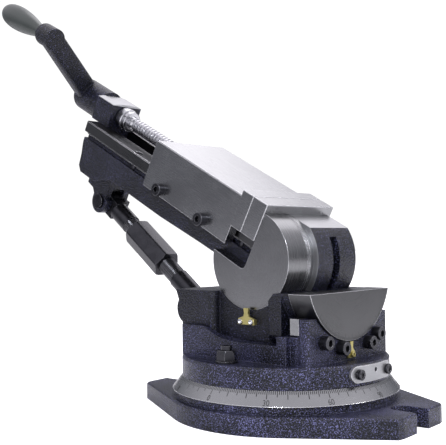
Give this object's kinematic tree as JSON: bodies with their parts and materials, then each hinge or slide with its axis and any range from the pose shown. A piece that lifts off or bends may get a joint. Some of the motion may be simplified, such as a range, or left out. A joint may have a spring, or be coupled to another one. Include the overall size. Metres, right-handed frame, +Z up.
{
  "type": "tilting swivel machine vise",
  "caption": "Machine vise on a graduated swivel base, with a side-tilting cradle, an elevating bed held by a turnbuckle strut, and a crank-driven sliding jaw.",
  "frame": {"origin": "on the swivel axis, at the underside of the base plate", "axes": "+Z up along the swivel axis; +X towards the half-round side-tilt dial, away from the crank; the graduated elevation disc faces -Y"},
  "size_m": [0.4997, 0.221, 0.4485],
  "materials": {
    "blackened": "blackened, oily",
    "brass": "dull",
    "bright": "turned bright",
    "bronze": "turned",
    "cast_black": "hammer-texture black paint",
    "cradle_black": "hammer-texture black paint",
    "grip": "smooth, dark grey-green",
    "half_dial_steel": "ground, graduated",
    "machined": "ground",
    "machined_dial": "ground, graduated",
    "plate_steel": "satin",
    "ring_steel": "turned, graduated"
  },
  "bodies": {
    "base": {"base_plate": "cast_black", "graduated_ring": "ring_steel"},
    "swivel": {"swivel_body": "cast_black", "clamp_bolts": "blackened", "clamp_washers": "bright", "clamp_nuts": "bright", "retaining_plate": "blackened", "retaining_screws": "blackened", "index_plate": "plate_steel", "index_screws": "blackened", "clamp_segment": "machined", "tilt_screws": "blackened", "tilt_pointer": "brass", "tilt_pointer_screw": "brass"},
    "cradle": {"tilt_cradle": "cradle_black", "half_dial": "half_dial_steel", "dial_dowels": "bright", "drum_bolt": "blackened", "drum_bolt_nut": "blackened", "drum_bolt_washer": "blackened", "drum_pointer": "brass", "drum_pointer_screws": "bright"},
    "bed": {"bed_casting": "cast_black", "drum_dial": "machined_dial", "way_near": "machined", "way_far": "machined", "way_screws": "blackened", "fixed_jaw_plate": "machined", "fixed_jaw_screws": "blackened", "screw_bracket": "cast_black", "bracket_screws": "blackened", "upper_pin": "blackened", "pin_clip": "blackened"},
    "jaw": {"jaw_block": "machined", "moving_jaw_plate": "machined", "moving_jaw_screws": "blackened", "gib_strips": "machined", "gib_screws": "blackened", "hold_down_plate": "blackened", "hold_down_screws": "blackened", "lead_nut": "bronze"},
    "crank": {"lead_screw": "bright", "thrust_collar": "bright", "crank_arm": "cast_black", "crank_pin": "blackened", "handle_spindle": "blackened"},
    "grip": {"handle_grip": "grip"},
    "strut_upper": {"upper_eye": "blackened"},
    "strut_nut": {"strut_nut": "blackened"},
    "strut_lower": {"lower_rod": "blackened", "lower_pin": "blackened"}
  },
  "joints": [
    {"name": "swivel_turn", "type": "hinge", "parent": "base", "child": "swivel", "pos_m": [0, 0, 0.0365], "axis": [0, 0, 1], "continuous": true},
    {"name": "side_tilt", "type": "hinge", "parent": "swivel", "child": "cradle", "pos_m": [0, 0, 0.137], "axis": [1, 0, 0], "range_deg": [-45, 45]},
    {"name": "elevation", "type": "hinge", "parent": "cradle", "child": "bed", "pos_m": [0, 0, 0.145], "axis": [0, 1, 0], "range_deg": [-13, 12]},
    {"name": "crank_turn", "type": "hinge", "parent": "bed", "child": "crank", "pos_m": [-0.24907, 0, 0.31523], "axis": [-0.8805, 0, 0.4741], "range_deg": [0, 6120]},
    {"name": "jaw_slide", "type": "slide", "parent": "bed", "child": "jaw", "axis": [-0.8805, 0, 0.4741], "range_m": [0, 0.085]},
    {"name": "grip_spin", "type": "hinge", "parent": "crank", "child": "grip", "pos_m": [-0.30755, -0.08299, 0.41753], "axis": [-0.8805, 0, 0.4741], "continuous": true},
    {"name": "strut_swing", "type": "hinge", "parent": "bed", "child": "strut_upper", "pos_m": [-0.264, 0, 0.2115], "axis": [0, 1, 0], "range_deg": [-4.02, 3.71]},
    {"name": "strut_nut_turn", "type": "hinge", "parent": "strut_upper", "child": "strut_nut", "pos_m": [-0.264, 0, 0.2115], "axis": [0.7968, 0, -0.6042], "range_deg": [-2154.1, 1988.4]},
    {"name": "strut_extend", "type": "slide", "parent": "strut_upper", "child": "strut_lower", "axis": [0.7968, 0, -0.6042], "range_m": [-0.02417, 0.02231]}
  ],
  "couplings": [
    {"joint": "jaw_slide", "follows": "crank_turn", "m_per_rad": 0.00079577},
    {"joint": "strut_swing", "follows": "elevation", "ratio": 0.2809},
    {"joint": "strut_extend", "follows": "elevation", "m_per_rad": 0.10342},
    {"joint": "strut_nut_turn", "follows": "elevation", "ratio": 162.45}
  ]
}
